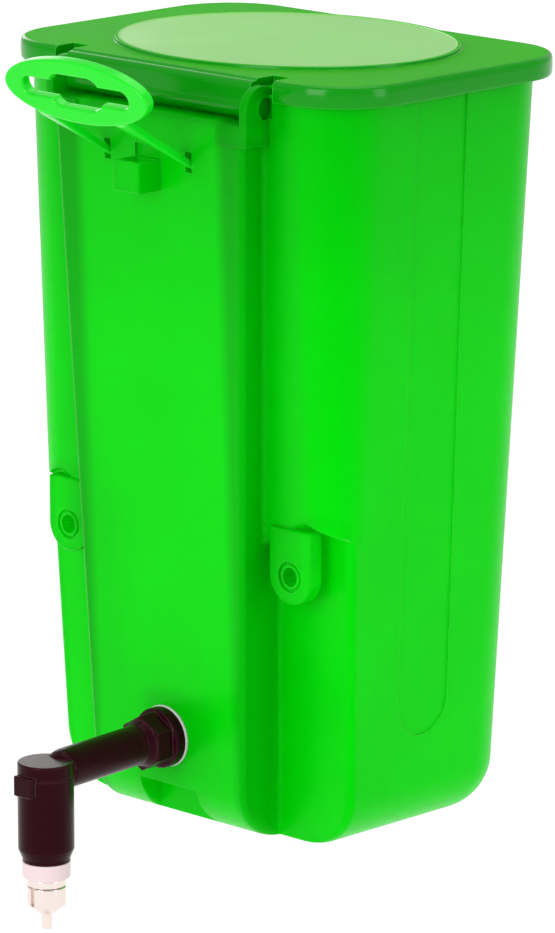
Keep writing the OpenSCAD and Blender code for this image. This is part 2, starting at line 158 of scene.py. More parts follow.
def put(x, y, z):
    return Vector((x, y + mid_y, z + base_z)) * 0.001


def rounded_path(points, radii, arc_steps, run_steps):
    """Points along a run of straight lines whose inner corners are rounded."""
    path = []
    last = Vector(points[0])
    for i in range(1, len(points)):
        corner = Vector(points[i])
        if i == len(points) - 1:
            for k in range(run_steps[i - 1] + 1):
                path.append(last.lerp(corner, k / run_steps[i - 1]))
            break
        before = (Vector(points[i - 1]) - corner).normalized()
        after = (Vector(points[i + 1]) - corner).normalized()
        turn = before.angle(after)
        cut = radii[i - 1] / math.tan(turn / 2)
        start = corner + before * cut
        for k in range(run_steps[i - 1]):
            path.append(last.lerp(start, k / run_steps[i - 1]))
        centre = corner + (before + after).normalized() * radii[i - 1] / math.sin(turn / 2)
        a0 = start - centre
        a1 = corner + after * cut - centre
        full = a0.angle_signed(a1)
        for k in range(arc_steps[i - 1]):
            spin = -full * k / arc_steps[i - 1]
            c, s = math.cos(spin), math.sin(spin)
            path.append(centre + Vector((a0.x * c - a0.y * s, a0.x * s + a0.y * c)))
        last = corner + after * cut
    return path


def mirrored(path):
    """The right half of an outline and its mirror image, as one closed ring."""
    return [(p.x, p.y) for p in path] + [(-p.x, p.y) for p in reversed(path[1:-1])]


def loft(rings, cap_first=False, cap_last=False):
    """Skin of quads over rings that all have the same number of points."""
    verts = [v for ring in rings for v in ring]
    n = len(rings[0])
    faces = []
    for r in range(len(rings) - 1):
        for k in range(n):
            m = (k + 1) % n
            faces.append((r * n + k, r * n + m, (r + 1) * n + m, (r + 1) * n + k))
    if cap_first:
        faces.append(tuple(reversed(range(n))))
    if cap_last:
        faces.append(tuple(range((len(rings) - 1) * n, len(rings) * n)))
    return verts, faces


def build(name, verts, faces):
    mesh = bpy.data.meshes.new(name)
    mesh.from_pydata([tuple(v) for v in verts], [], faces)
    tidy = bmesh.new()
    tidy.from_mesh(mesh)
    bmesh.ops.recalc_face_normals(tidy, faces=tidy.faces)
    if tidy.calc_volume(signed=True) < 0:
        bmesh.ops.reverse_faces(tidy, faces=tidy.faces)
    tidy.to_mesh(mesh)
    tidy.free()
    piece = bpy.data.objects.new(name, mesh)
    bpy.context.scene.collection.objects.link(piece)
    return piece


def settle(piece):
    """Turns a piece's modifiers into its mesh."""
    graph = bpy.context.evaluated_depsgraph_get()
    mesh = bpy.data.meshes.new_from_object(piece.evaluated_get(graph))
    piece.modifiers.clear()
    old = piece.data
    piece.data = mesh
    mesh.name = piece.name
    bpy.data.meshes.remove(old)


def seal(piece):
    """Closes the hair cracks that a cut can leave along an edge."""
    whole = bmesh.new()
    whole.from_mesh(piece.data)
    if any(not e.is_manifold for e in whole.edges):
        bmesh.ops.remove_doubles(whole, verts=whole.verts, dist=0.000004)
        bmesh.ops.dissolve_degenerate(whole, edges=whole.edges, dist=0.000004)
        cracks = [e for e in whole.edges if e.is_boundary]
        bmesh.ops.holes_fill(whole, edges=cracks, sides=0)
        bmesh.ops.recalc_face_normals(whole, faces=whole.faces)
        whole.to_mesh(piece.data)
    whole.free()


def carve(piece, tools, way):
    """Adds tools to a piece (UNION) or cuts them out of it (DIFFERENCE)."""
    for tool in tools:
        cut = piece.modifiers.new("cut", "BOOLEAN")
        cut.operation = way
        cut.solver = "EXACT"
        cut.object = tool
        settle(piece)
        bpy.data.objects.remove(tool)
        seal(piece)


def soften(piece, width, steps=3, angle=40):
    bev = piece.modifiers.new("bevel", "BEVEL")
    bev.width = width * 0.001
    bev.segments = steps
    bev.limit_method = "ANGLE"
    bev.angle_limit = math.radians(angle)
    settle(piece)


def shade(piece, angle=38):
    for poly in piece.data.polygons:
        poly.use_smooth = True
    piece.data.set_sharp_from_angle(angle=math.radians(angle))
    piece.modifiers.new("even_light", "WEIGHTED_NORMAL").keep_sharp = True
    settle(piece)


def block(name, low, high, edge=0.0):
    x0, y0, z0 = low
    x1, y1, z1 = high
    rings = [[put(x0, y0, z), put(x1, y0, z), put(x1, y1, z), put(x0, y1, z)] for z in (z0, z1)]
    made = build(name, *loft(rings, True, True))
    if edge:
        soften(made, edge)
    return made


def prism(name, outline, spot_a, spot_b, edge=0.0):
    """An outline of 2-D points pushed from one place to another."""
    rings = [[spot(u, v) for u, v in outline] for spot in (spot_a, spot_b)]
    made = build(name, *loft(rings, True, True))
    if edge:
        soften(made, edge)
    return made


def circle_points(r, n, cx=0.0, cy=0.0):
    return [(cx + r * math.cos(2 * math.pi * k / n), cy + r * math.sin(2 * math.pi * k / n))
            for k in range(n)]


def tank_half(z, kind, skin):
    """Right half of the tank's outline at height z, moved inwards by skin."""
    foot = FOOT_R - math.sqrt(max(0, (FOOT_R - skin) ** 2 - max(0, FOOT_R - z) ** 2))
    toe = TOE_R - math.sqrt(max(0, (TOE_R - skin) ** 2 - max(0, TOE_R - z) ** 2))
    w = half_w(z) - foot
    rear = half_d(z) - foot
    lift = min(1, max(0, (z - 75) / (MOUTH_Z - 75)))
    front = face_y(z) + min(toe, TOE_R - 0.1)
    half = BLOCK_HALF + LEAN * z - skin
    out_r, in_r = max(0.5, 1.5 - skin), 1.3 + skin
    if kind == "low":
        wall = -(half_d(z) - STEP_BACK) + skin
        front_r = max(0.6, 2.2 - skin)
    else:
        wall = -half_d(z) + skin
        front_r = 10 + 7 * lift - skin
    if kind == "trough":
        front = HINGE_Y + 3.7 + skin
        half = CHEEK_IN if skin == 0 else CHEEK_OUT + skin
        out_r, in_r = 0.5, 0.5
    room = abs(front - wall) * 0.45
    points = [(0, front), (half, front), (half + 0.15, wall), (w, wall), (w, rear), (0, rear)]
    radii = [min(out_r, room), min(in_r, room), front_r, max(16 - foot, 2.0)]
    return rounded_path(points, radii, [5, 5, 12, 12], [9, 2, 7, 10, 10])


def roof_height(x):
    """Height of the sloping step above the lugs."""
    if x < BLOCK_HALF:
        return ROOF_Z - 9.5
    if x < LUG_X + 4:
        return ROOF_Z - 9.5 * (LUG_X + 4 - x) / (LUG_X + 4 - BLOCK_HALF)
    return ROOF_Z - 11 * (x - LUG_X - 4) / (BASE_HALF_W + 20 - LUG_X - 4)


columns = len(mirrored(tank_half(80, "up", 0)))
side_column = 9 + 5 + 2 + 5 + 7 + 12
roof = []
for k, (x, y) in enumerate(mirrored(tank_half(80, "up", 0))):
    near = min(k, columns - k)
    roof.append(roof_height(abs(x) if near < side_column else half_w(80)))


def tank_skin(skin):
    """Rings of the tank from its floor to its mouth, moved inwards by skin."""
    rings = []
    for step in range(13):
        z = FOOT_R - (FOOT_R - skin) * math.cos(math.radians(step * 7.5))
        rings.append([put(x, y, z) for x, y in mirrored(tank_half(z, "low", skin))])
    for part in (0.12, 0.4, 0.7, 0.9, 1.0):
        ring = []
        for k in range(columns):
            z = FOOT_R + (roof[k] + skin - 1.3 - FOOT_R) * part
            ring.append(put(*mirrored(tank_half(z, "low", skin))[k], z))
        rings.append(ring)
    for blend, rise in ((0.05, -0.6), (0.28, -0.12), (0.72, 0.12), (0.95, 0.6), (1.0, 1.3)):
        ring = []
        for k in range(columns):
            z = roof[k] + skin + rise
            low = Vector(mirrored(tank_half(z, "low", skin))[k])
            high = Vector(mirrored(tank_half(z, "up", skin))[k])
            ring.append(put(*low.lerp(high, blend), z))
        rings.append(ring)
    shelf = BLOCK_TOP - skin
    for part in (0.05, 0.25, 0.5, 0.75, 0.97, 1.0):
        ring = []
        for k in range(columns):
            z = roof[k] + skin + 1.3 + (shelf - 0.8 - roof[k] - skin - 1.3) * part
            ring.append(put(*mirrored(tank_half(z, "up", skin))[k], z))
        rings.append(ring)
    for draw_in, z in ((0.25, shelf - 0.25), (0.9, shelf)):
        ring = []
        for x, y in mirrored(tank_half(z, "up", skin)):
            proud = abs(x) < half_w(z) - 20 and y < -half_d(z) - 0.5
            ring.append(put(x, y + (draw_in if proud else 0), z))
        rings.append(ring)
    for z in (shelf + 0.05, BLOCK_TOP + 0.6, 193, 196.2, MOUTH_Z):
        rings.append([put(x, y, z) for x, y in mirrored(tank_half(z, "trough", skin))])
    return rings


outside = tank_skin(0)
inside = tank_skin(SKIN)
tank = build("tank", *loft(outside + inside[::-1], True, True))


def copy_of(piece, name):
    twin = piece.copy()
    twin.data = piece.data.copy()
    twin.name = name
    bpy.context.scene.collection.objects.link(twin)
    return twin


def drum(name, centre, along, radius, length, steps=64):
    """A round rod in millimetres, centred on a point, for boring holes."""
    along = Vector(along).normalized()
    side = along.orthogonal().normalized()
    over = along.cross(side)
    mid = Vector(centre)
    rings = []
    for end in (-0.5, 0.5):
        rings.append([put(*(mid + along * end * length + side * u + over * v))
                      for u, v in circle_points(radius, steps)])
    return build(name, *loft(rings, True, True))


solid_tank = build("solid_tank", *loft(tank_skin(0.7), True, True))


def within_tank(tool):
    """Trims a boss to end inside the outer skin of the tank."""
    carve(tool, [copy_of(solid_tank, "trim")], "INTERSECT")
    return tool


PIVOT_Z = 177.0
PIVOT_Y = face_y(PIVOT_Z) + 1.3
LEG_X = 14.6
bosses = [within_tank(block("arch_wall", (-12.5, -46, 0.4), (12.5, -31.65, 13)))]
for side in (-1, 1):
    x = side * LEG_X
    boss = block("pivot_wall", (x - 2.7, -54.9, 173.7), (x + 2.7, -43.7, 182.2))
    bosses.append(within_tank(boss))
carve(tank, bosses, "UNION")
bpy.data.objects.remove(solid_tank)

ears = []
lug_front = -38.401
for side in (-1, 1):
    shape = [(LUG_R * math.cos(a), LUG_R * math.sin(a))
             for a in (math.pi + math.pi * k / 28 for k in range(29))]
    shape += [(LUG_R, 12.4), (-LUG_R, 12.4)]

    def lug_spot(depth):
        return lambda u, v: put(side * LUG_X + u, lug_front + depth, LUG_Z + v)

    tab = prism("lug", shape, lug_spot(0), lug_spot(4.4), 0.55)
    spot = (side * LUG_X, lug_front + 0.3, LUG_Z)
    carve(tab, [drum("sink", spot, (0, 1, 0), 4.0, 1.2)], "DIFFERENCE")
    ring = drum("bead", (side * LUG_X, lug_front + 1.6, LUG_Z), (0, 1, 0), 3.3, 3.0)
    soften(ring, 0.3)
    carve(tab, [ring], "UNION")
    carve(tab, [drum("hole", (side * LUG_X, lug_front + 2, LUG_Z), (0, 1, 0), 2.5, 9)], "DIFFERENCE")
    ears.append(tab)

    cheek_shape = [(-1.4 + 6 * math.cos(a), 6 * math.sin(a))
                   for a in (math.pi * k / 30 for k in range(31))]
    cheek_shape += [(-7.4, -9.5), (4.6, -9.5)]

    def cheek_spot(across):
        return lambda u, v: put(side * across, HINGE_Y + u, HINGE_Z + v)

    cheek = prism("cheek", cheek_shape, cheek_spot(CHEEK_IN), cheek_spot(CHEEK_OUT), 0.45)
    ears.append(cheek)
    low_x, high_x = sorted((side * 25.0, side * CHEEK_OUT))
    ears.append(block("cheek_foot", (low_x, HINGE_Y - 7.4, HINGE_Z - 9.5),
                      (high_x, HINGE_Y + 4.6, HINGE_Z - 3.8), 0.45))
catch = block("catch", (-4.75, face_y(PIVOT_Z) - 8, PIVOT_Z - 7.6),
              (4.75, face_y(PIVOT_Z) + 2, PIVOT_Z + 0.4), 0.6)
carve(tank, ears + [catch], "UNION")

cuts = []
flare = [(-13.5, -6), (13.5, -6), (12.6, 0), (11.2, 3.2), (10.6, 6), (10.5, 11), (-10.5, 11),
         (-10.6, 6), (-11.2, 3.2), (-12.6, 0)]
cuts.append(prism("arch", flare, lambda u, v: put(u, -50, v), lambda u, v: put(u, -33.65, v)))
cuts.append(block("catch_room", (-3.4, face_y(PIVOT_Z) - 6.7, PIVOT_Z - 6.1),
                  (3.4, face_y(PIVOT_Z) - 0.5, PIVOT_Z + 2.9)))
cuts.append(block("catch_back", (-4.6, face_y(PIVOT_Z) - 2, PIVOT_Z + 0.3),
                  (4.6, face_y(PIVOT_Z) + 1, PIVOT_Z + 3.8), 0.3))
for side in (-1, 1):
    x = side * LEG_X
    cuts.append(block("peg_room", (x - 1.1, PIVOT_Y - 8, PIVOT_Z - 1.7),
                      (x + 1.1, PIVOT_Y + 1.6, PIVOT_Z + 3.6)))
    cuts.append(drum("peg_hole", (x, PIVOT_Y, PIVOT_Z), (1, 0, 0), 0.87, 5.2, 24))
    cuts.append(drum("hinge_hole", (side * 34.8, HINGE_Y, HINGE_Z), (1, 0, 0), 2.8, 4.6, 48))
    window = [(9.25 * math.cos(a), 36.25 + 9.25 * math.sin(a))
              for a in (math.pi + math.pi * k / 30 for k in range(31))]
    window += [(9.25, 230), (-9.25, 230)]

    def window_spot(out):
        return lambda u, v: put(side * (BASE_HALF_W + out + LEAN * v), u - 2.55, v)

    cuts.append(prism("window", window, window_spot(-0.4), window_spot(4)))
SPOUT_Z = 24.2
SPOUT_TILT = math.atan(LEAN)
spout_out = (0, -math.cos(SPOUT_TILT), -math.sin(SPOUT_TILT))
cuts.append(drum("spout_hole", (0, face_y(SPOUT_Z), SPOUT_Z), spout_out, 5.2, 17))
carve(tank, cuts, "DIFFERENCE")
shade(tank, 30)


def link_input(tree, value, socket):
    if isinstance(value, bpy.types.NodeSocket):
        tree.links.new(value, socket)
    else:
        socket.default_value = value


def new_group(name, inputs, outputs):
    """An empty shader group with named inputs (name, kind, start) and outputs."""
    group = bpy.data.node_groups.new(name, "ShaderNodeTree")
    for label, kind, start in inputs:
        plug = group.interface.new_socket(label, in_out="INPUT", socket_type=kind)
        plug.default_value = start
    for label, kind in outputs:
        group.interface.new_socket(label, in_out="OUTPUT", socket_type=kind)
    return group, group.nodes.new("NodeGroupInput"), group.nodes.new("NodeGroupOutput")


def math_node(tree, way, a, b):
    node = tree.nodes.new("ShaderNodeMath")
    node.operation = way
    link_input(tree, a, node.inputs[0])
    link_input(tree, b, node.inputs[1])
    return node.outputs[0]


def noise_node(tree, scale, detail, rough=0.5):
    where = tree.nodes.new("ShaderNodeTexCoord")
    node = tree.nodes.new("ShaderNodeTexNoise")
    tree.links.new(where.outputs["Object"], node.inputs["Vector"])
    link_input(tree, scale, node.inputs["Scale"])
    node.inputs["Detail"].default_value = detail
    node.inputs["Roughness"].default_value = rough
    return node.outputs["Fac"]


# Skin of a moulding: slow flow waves, a fine grain, and cloudy patches in tone.
moulded, plugs, ends = new_group("moulded_skin", [
    ("Flow size", "NodeSocketFloat", 90.0), ("Grain size", "NodeSocketFloat", 2500.0),
    ("Grain share", "NodeSocketFloat", 0.3)],
    [("Height", "NodeSocketFloat"), ("Cloud", "NodeSocketFloat"), ("Grain", "NodeSocketFloat")])
flow = noise_node(moulded, plugs.outputs["Flow size"], 2.0)
grain = noise_node(moulded, plugs.outputs["Grain size"], 3.0, 0.6)
share = math_node(moulded, "MULTIPLY", grain, plugs.outputs["Grain share"])
moulded.links.new(math_node(moulded, "ADD", flow, share), ends.inputs["Height"])
moulded.links.new(noise_node(moulded, 34.0, 3.0), ends.inputs["Cloud"])
moulded.links.new(grain, ends.inputs["Grain"])

# Rubbed edges: a mask that is high where the surface turns sharply, broken up.
worn, plugs, ends = new_group("rubbed_edges", [
    ("Width", "NodeSocketFloat", 0.0006), ("Strength", "NodeSocketFloat", 1.0)],
    [("Mask", "NodeSocketFloat")])
turning = worn.nodes.new("ShaderNodeBevel")
turning.samples = 4
worn.links.new(plugs.outputs["Width"], turning.inputs["Radius"])
shape_of = worn.nodes.new("ShaderNodeNewGeometry")
facing = worn.nodes.new("ShaderNodeVectorMath")
facing.operation = "DOT_PRODUCT"
worn.links.new(turning.outputs["Normal"], facing.inputs[0])
worn.links.new(shape_of.outputs["Normal"], facing.inputs[1])
edge = math_node(worn, "SUBTRACT", 1.0, facing.outputs["Value"])
edge = math_node(worn, "MULTIPLY", edge, math_node(worn, "MULTIPLY", plugs.outputs["Strength"], 6.0))
broken = math_node(worn, "MULTIPLY", edge, noise_node(worn, 700.0, 3.0, 0.65))
clamped = math_node(worn, "MINIMUM", broken, 1.0)
worn.links.new(math_node(worn, "MAXIMUM", clamped, 0.0), ends.inputs["Mask"])


def moulding(name, dark, light, worn_tint, rough, flow=90.0, grain=2500.0, grain_share=0.3,
             bump=0.00003, edge_width=0.0006, edge_strength=1.0, plain=None):
    """A plastic, metal or rubber finish made from the two shared groups."""
    made = bpy.data.materials.new(name)
    made.use_nodes = True
    tree = made.node_tree
    shader = tree.nodes["Principled BSDF"]
    for label, value in (plain or {}).items():
        shader.inputs[label].default_value = value
    skin = tree.nodes.new("ShaderNodeGroup")
    skin.node_tree = moulded
    skin.inputs["Flow size"].default_value = flow
    skin.inputs["Grain size"].default_value = grain
    skin.inputs["Grain share"].default_value = grain_share
    rub = tree.nodes.new("ShaderNodeGroup")
    rub.node_tree = worn
    rub.inputs["Width"].default_value = edge_width
    rub.inputs["Strength"].default_value = edge_strength
    tone = tree.nodes.new("ShaderNodeMix")
    tone.data_type = "RGBA"
    tone.inputs["A"].default_value = (*dark, 1)
    tone.inputs["B"].default_value = (*light, 1)
    tree.links.new(skin.outputs["Cloud"], tone.inputs["Factor"])
    rubbed = tree.nodes.new("ShaderNodeMix")
    rubbed.data_type = "RGBA"
    rubbed.inputs["B"].default_value = (*worn_tint, 1)
    tree.links.new(rub.outputs["Mask"], rubbed.inputs["Factor"])
    tree.links.new(tone.outputs["Result"], rubbed.inputs["A"])
    tree.links.new(rubbed.outputs["Result"], shader.inputs["Base Color"])
    spread = math_node(tree, "MULTIPLY", skin.outputs["Cloud"], 0.12)
    spread = math_node(tree, "ADD", spread, rough - 0.06)
    spread = math_node(tree, "ADD", spread, math_node(tree, "MULTIPLY", rub.outputs["Mask"], 0.12))
    tree.links.new(spread, shader.inputs["Roughness"])
    relief = tree.nodes.new("ShaderNodeBump")
    relief.inputs["Strength"].default_value = 1.0
    relief.inputs["Distance"].default_value = bump
    tree.links.new(skin.outputs["Height"], relief.inputs["Height"])
    tree.links.new(relief.outputs["Normal"], shader.inputs["Normal"])
    return made


tank_plastic = moulding("green_tank_plastic", (0.0, 0.84, 0.002), (0.0, 0.97, 0.004),
                        (0.05, 0.95, 0.05), 0.34, bump=0.00006, grain_share=0.1,
                        plain={"Transmission Weight": 0.55, "IOR": 1.45,
                               "Specular IOR Level": 0.06, "Specular Tint": (0.1, 1.0, 0.1, 1.0)})


def fade(tree, value, start, end):
    """Rises from nothing at start to one at end."""
    span = tree.nodes.new("ShaderNodeMapRange")
    span.inputs["From Min"].default_value = start
    span.inputs["From Max"].default_value = end
    tree.links.new(value, span.inputs["Value"])
    return span.outputs["Result"]


# Painted shade: the green is painted darker in bands beside the block, where the
# wall is seen edge-on, and darker towards the mouth, for light lost in the wall.
tree = tank_plastic.node_tree
where = tree.nodes.new("ShaderNodeTexCoord")
apart = tree.nodes.new("ShaderNodeSeparateXYZ")
tree.links.new(where.outputs["Object"], apart.inputs["Vector"])
across = math_node(tree, "ABSOLUTE", apart.outputs["X"], 0.0)
# Painted shade mask: bands on the front along both edges of the block.
painted_flank_shade = math_node(tree, "MULTIPLY", fade(tree, across, 0.0235, 0.0272), fade(tree, across, 0.046, 0.030))
painted_flank_shade = math_node(tree, "MULTIPLY", painted_flank_shade, fade(tree, apart.outputs["Y"], 0.014, 0.006))
# Painted shade amount: the edge bands plus a darkening that grows towards the mouth.
depth = math_node(tree, "ADD", math_node(tree, "MULTIPLY", painted_flank_shade, 0.45),
                  math_node(tree, "MULTIPLY", fade(tree, apart.outputs["Z"], 0.050, 0.125), 0.30))
# Painted shade colour: a darker green mixed into the base colour by that amount.
painted_shade_tone = tree.nodes.new("ShaderNodeMix")
painted_shade_tone.data_type = "RGBA"
painted_shade_tone.inputs["B"].default_value = (0.0, 0.30, 0.002, 1)
tree.links.new(depth, painted_shade_tone.inputs["Factor"])
shader = tree.nodes["Principled BSDF"]
tree.links.new(shader.inputs["Base Color"].links[0].from_socket, painted_shade_tone.inputs["A"])
tree.links.new(painted_shade_tone.outputs["Result"], shader.inputs["Base Color"])
tank.data.materials.clear()
tank.data.materials.append(tank_plastic)
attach(tank, "tank")
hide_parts("tank_body")

# ---------------------------------------------------------------- the lid
# A flat cap moulded in the same green with a fine sandy texture on top, a
# polished oval boss painted paler as reflection, a deep glossy rim painted
# darker as shade, and a barrel that turns between the two ears of the tank
# on stub pins.
LID_TOP = 201.0
LID_UNDER = 198.6
RIM_LOW = 195.3
LID_HALF_W = 64.19
LID_HALF_D = 44.49
LID_MID = 1.4
LID_R = 20.0
BOSS_A = 48.5
BOSS_B = 41.0
BOSS_MID = 2.4
BOSS_TOP = 202.0


def lid_ring(inset, z):
    w = LID_HALF_W - inset
    d = LID_HALF_D - inset
    r = max(LID_R - inset, 4)
    half = rounded_path([(0, -d), (w, -d), (w, d), (0, d)], [r, r], [16, 16], [16, 12, 16])
    return [(x, y + LID_MID, z) for x, y in mirrored(half)]


def boss_ring(inset, z):
    ring = []
    for x, y, _ in lid_ring(0, z):
        turn = math.atan2((y - LID_MID) / LID_HALF_D, x / LID_HALF_W)
        ring.append(((BOSS_A - inset) * math.cos(turn), (BOSS_B - inset) * math.sin(turn) + BOSS_MID, z))
    return ring


lid_rows = [lid_ring(6, LID_UNDER), lid_ring(3.2, LID_UNDER), lid_ring(2.5, LID_UNDER - 0.25),
            lid_ring(2.25, LID_UNDER - 0.9), lid_ring(2.2, RIM_LOW + 0.5), lid_ring(2.0, RIM_LOW + 0.1),
            lid_ring(1.7, RIM_LOW), lid_ring(0.7, RIM_LOW), lid_ring(0.35, RIM_LOW + 0.12),
            lid_ring(0.12, RIM_LOW + 0.5), lid_ring(0.02, RIM_LOW + 1.4), lid_ring(0, LID_TOP - 2.8),
            lid_ring(0.03, LID_TOP - 1.6), lid_ring(0.2, LID_TOP - 0.75), lid_ring(0.55, LID_TOP - 0.3),
            lid_ring(1.1, LID_TOP - 0.07), lid_ring(1.8, LID_TOP), lid_ring(3.0, LID_TOP)]
lid_rows += [boss_ring(-0.5, LID_TOP), boss_ring(-0.12, LID_TOP + 0.08), boss_ring(0.1, LID_TOP + 0.35),
             boss_ring(0.15, BOSS_TOP - 0.2), boss_ring(0.3, BOSS_TOP - 0.03), boss_ring(0.6, BOSS_TOP),
             boss_ring(1.1, BOSS_TOP), boss_ring(1.4, BOSS_TOP - 0.12), boss_ring(1.8, BOSS_TOP - 0.2)]
for inset in (6, 14, 24, 33):
    lid_rows.append(boss_ring(inset, BOSS_TOP - 0.2 + 0.0011 * inset))
lid_rows = [[put(*p) for p in row] for row in lid_rows]
lid = build("lid_cap", *loft(lid_rows, True, True))

LID_FRONT = LID_MID - LID_HALF_D
notches = [block("slot", (side * 36.1 - 2.98, LID_FRONT - 5, RIM_LOW - 5),
                 (side * 36.1 + 2.98, LID_FRONT + 6.8, LID_TOP + 5)) for side in (-1, 1)]
notches.append(block("rim_gap", (-CHEEK_IN, LID_FRONT + 2.6, RIM_LOW - 5),
                     (CHEEK_IN, LID_FRONT + 8, LID_UNDER)))
carve(lid, notches, "DIFFERENCE")


def turned(name, points, radii, spot, steps=64, closed=False, arc=4):
    """Turns a profile of (radius, height) about an axis; spot places each point."""
    counts = [arc if r else 1 for r in radii]
    path = rounded_path(points, [r or 0.0001 for r in radii], counts, [1] * (len(points) - 1))
    rings = []
    for p in path:
        rings.append([spot(max(p.x, 0) * math.cos(2 * math.pi * k / steps),
                           max(p.x, 0) * math.sin(2 * math.pi * k / steps), p.y)
                      for k in range(steps)])
    if closed:
        rings.append(rings[0])
        made = build(name, *loft(rings))
    else:
        made = build(name, *loft(rings))
    tidy = bmesh.new()
    tidy.from_mesh(made.data)
    bmesh.ops.remove_doubles(tidy, verts=tidy.verts, dist=0.000002)
    bmesh.ops.recalc_face_normals(tidy, faces=tidy.faces)
    tidy.to_mesh(made.data)
    tidy.free()
    return made


def rod(r, low, high):
    """Half the outline of a plain round rod."""
    return [(0, low), (r, low), (r, high), (0, high)]


def barrel_spot(a, b, h):
    return put(h, HINGE_Y + a, HINGE_Z + b)


BARREL_R = 3.2
BARREL_HALF = 33.13
STUB_R = 2.73
STUB_HALF = 34.88
barrel = turned("barrel", rod(BARREL_R, -BARREL_HALF, BARREL_HALF), [0.4, 0.4], barrel_spot)
stub = turned("stub", rod(STUB_R, -STUB_HALF, STUB_HALF), [0.3, 0.3], barrel_spot, 48)
web_line = rounded_path([(1.5, 0), (-2.9, 0), (-2.9, 6.9), (1.5, 6.9)], [0.01, 1.6], [1, 8], [1, 1, 1])
web_line = [(p.x, p.y) for p in web_line]
web = prism("web", web_line, lambda u, v: put(-BARREL_HALF, HINGE_Y + u, HINGE_Z + v),
            lambda u, v: put(BARREL_HALF, HINGE_Y + u, HINGE_Z + v))
plug_out = rounded_path([(0, 38.1), (56.4, 38.1), (56.4, -14), (54.6, -14), (54.6, 36.3), (0, 36.3)],
                        [16, 0.3, 0.3, 14], [12, 2, 2, 12], [1, 1, 1, 1, 1])
plug_half = [(p.x, p.y) for p in plug_out]
plug_line = plug_half + [(-x, y) for x, y in reversed(plug_half[1:-1])]
plug = prism("plug", plug_line, lambda u, v: put(u, v, MOUTH_Z - 4), lambda u, v: put(u, v, LID_UNDER + 0.5))
carve(lid, [barrel, stub, web, plug], "UNION")
shade(lid, 32)

# Painted shade: the glossy rim is given a darker green than the top of the same moulding, for the shade on
# its sides.
lid_gloss_painted_shade = moulding("green_lid_gloss_painted_shade", (0.0, 0.23, 0.001), (0.001, 0.29, 0.002),
                     (0.05, 0.75, 0.04), 0.16, bump=0.00003, grain_share=0.05,
                     plain={"Specular IOR Level": 0.2})
lid_sand = moulding("green_lid_sanded", (0.028, 0.37, 0.006), (0.040, 0.45, 0.010),
                    (0.12, 0.70, 0.06), 0.62, grain=1900.0, grain_share=1.6, bump=0.00012,
                    plain={"Specular IOR Level": 0.08})
# Partly painted reflection: the polished boss is given a paler, whiter green than the same moulding
# elsewhere, beside its real gloss.
lid_mirror_painted_reflection = moulding("green_lid_polished_painted_reflection", (0.15, 0.60, 0.04), (0.19, 0.68, 0.06),
                      (0.3, 0.8, 0.2), 0.2, bump=0.00001, grain_share=0.02)
lid.data.materials.clear()
for finish in (lid_gloss_painted_shade, lid_sand, lid_mirror_painted_reflection):
    lid.data.materials.append(finish)
for poly in lid.data.polygons:
    x, y, z = poly.center * 1000
    out = math.hypot(x / BOSS_A, (y - mid_y - BOSS_MID) / BOSS_B)
    if poly.normal.z > 0.8 and z - base_z > LID_TOP - 0.15:
        poly.material_index = 2 if out < 0.975 else 1
    else:
        poly.material_index = 0
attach(lid, "lid")
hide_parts("lid")

# ---------------------------------------------------------------- the hanging clip
# A flat oval ring with a slotted eye and two tapering legs, moulded in one
# bright green piece; two pegs on the leg tips snap into the block's pockets.
CLIP_LEAN = math.radians(16)
CLIP_OUT = 25.4
CLIP_UP = 20.4
RING_T = 3.2
EDGE = 0.75
outer = [(25.5 * math.cos(a), 8.6 * math.sin(a)) for a in (2 * math.pi * k / 96 for k in range(96))]
eye_turn = math.asin(2.4 / 4.4)
quarter = [(16.6 + 2.4 * math.cos(a), 2.4 * math.sin(a))
           for a in (-math.pi / 2 + math.pi * k / 14 for k in range(15))]
quarter += [(5.1 + 4.4 * math.cos(a), 4.4 * math.sin(a))
            for a in (eye_turn + (math.pi / 2 - eye_turn) * k / 8 for k in range(9))]
eye_line = [(5.1 + 4.4 * math.cos(a), 4.4 * math.sin(a))
            for a in (-math.pi / 2 + (math.pi / 2 - eye_turn) * k / 8 for k in range(9))]
eye_line += quarter
eye_line += [(-x, -y) for x, y in eye_line]


def clip_spot(u, v, out):
    """Across the ring, up the ring, and out of its front face."""
    y = PIVOT_Y - CLIP_OUT - v * math.sin(CLIP_LEAN) - out * math.cos(CLIP_LEAN)
    z = PIVOT_Z + CLIP_UP + v * math.cos(CLIP_LEAN) - out * math.sin(CLIP_LEAN)
    return put(u, y, z)


def ring_at(line, shrink, out):
    """A closed outline moved sideways by shrink, lifted to out."""
    moved = []
    n = len(line)
    for k in range(n):
        ax, ay = line[k - 1]
        bx, by = line[(k + 1) % n]
        length = math.hypot(bx - ax, by - ay)
        moved.append(clip_spot(line[k][0] - (by - ay) / length * shrink,
                               line[k][1] + (bx - ax) / length * shrink, out))
    return moved


turns = [(EDGE * (1 - math.sin(a)), RING_T / 2 - EDGE * (1 - math.cos(a)))
         for a in (math.pi / 2 * k / 5 for k in range(6))]
sides = turns + [(s, -o) for s, o in reversed(turns)]
verts, faces = [], []
n_out, n_eye = len(outer), len(eye_line)
for s, o in sides:
    verts += ring_at(outer, s, o)
start = len(verts)
for s, o in sides:
    verts += ring_at(eye_line, -s, o)
for base, n in ((0, n_out), (start, n_eye)):
    for r in range(len(sides) - 1):
        for k in range(n):
            m = (k + 1) % n
            faces.append((base + r * n + k, base + r * n + m, base + (r + 1) * n + m, base + (r + 1) * n + k))
clip_mesh = bpy.data.meshes.new("clip")
clip_mesh.from_pydata([tuple(v) for v in verts], [], faces)
tidy = bmesh.new()
tidy.from_mesh(clip_mesh)
bmesh.ops.remove_doubles(tidy, verts=tidy.verts, dist=0.000001)
tidy.edges.ensure_lookup_table()
open_edges = [e for e in tidy.edges if e.is_boundary]
